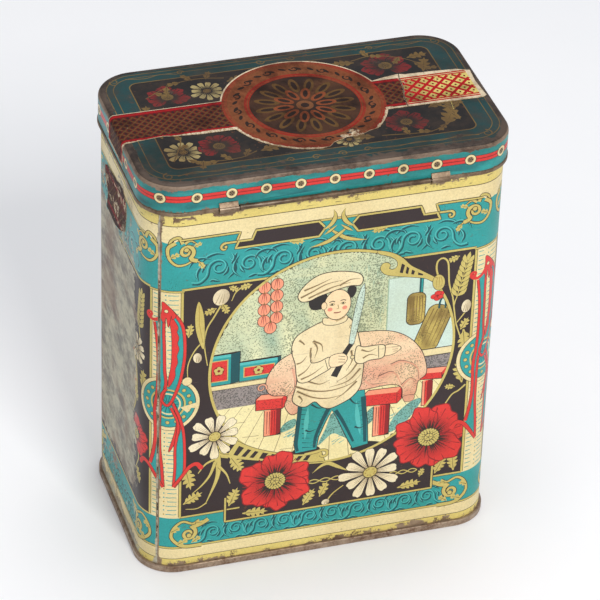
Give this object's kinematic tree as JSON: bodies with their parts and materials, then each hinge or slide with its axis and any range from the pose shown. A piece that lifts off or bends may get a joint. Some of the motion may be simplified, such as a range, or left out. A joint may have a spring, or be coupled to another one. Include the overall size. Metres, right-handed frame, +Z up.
{
  "type": "spice tin",
  "caption": "Tall rounded-corner litho-printed tin box with a double-seamed base and a shallow cap lid on a wire hinge, with a torn paper seal across the lid.",
  "frame": {"origin": "centre of the base, on the surface the tin stands on", "axes": "+Z up along the height, +X along the width, +Y across the depth; the hinge is on the -Y side"},
  "size_m": [0.1144, 0.0682, 0.1419],
  "materials": {
    "body_shell": "colour-printed tinplate, worn gloss varnish, bare tin inside",
    "base_plate": "dull tinplate with rust in the seam",
    "hinge_leaf": "dull tinplate",
    "hinge_wire": "darkened steel wire",
    "lid_cap": "colour-printed tinplate, darkened varnish on top, bare hem and edges",
    "seal_medallion": "printed paper, varnished dark with age, torn edges",
    "seal_right_arm": "printed paper, torn edges",
    "seal_side_scrap": "printed paper, nearly black with age"
  },
  "bodies": {
    "body": {"body_shell": "body_shell", "base_plate": "base_plate", "hinge_leaf": "hinge_leaf", "hinge_wire": "hinge_wire", "seal_side_scrap": "seal_side_scrap"},
    "lid": {"lid_cap": "lid_cap", "seal_medallion": "seal_medallion", "seal_right_arm": "seal_right_arm"}
  },
  "joints": [
    {"name": "lid_hinge", "type": "hinge", "parent": "body", "child": "lid", "pos_m": [0, -0.03375, 0.1322], "axis": [1, 0, 0], "range_deg": [0, 180]}
  ]
}
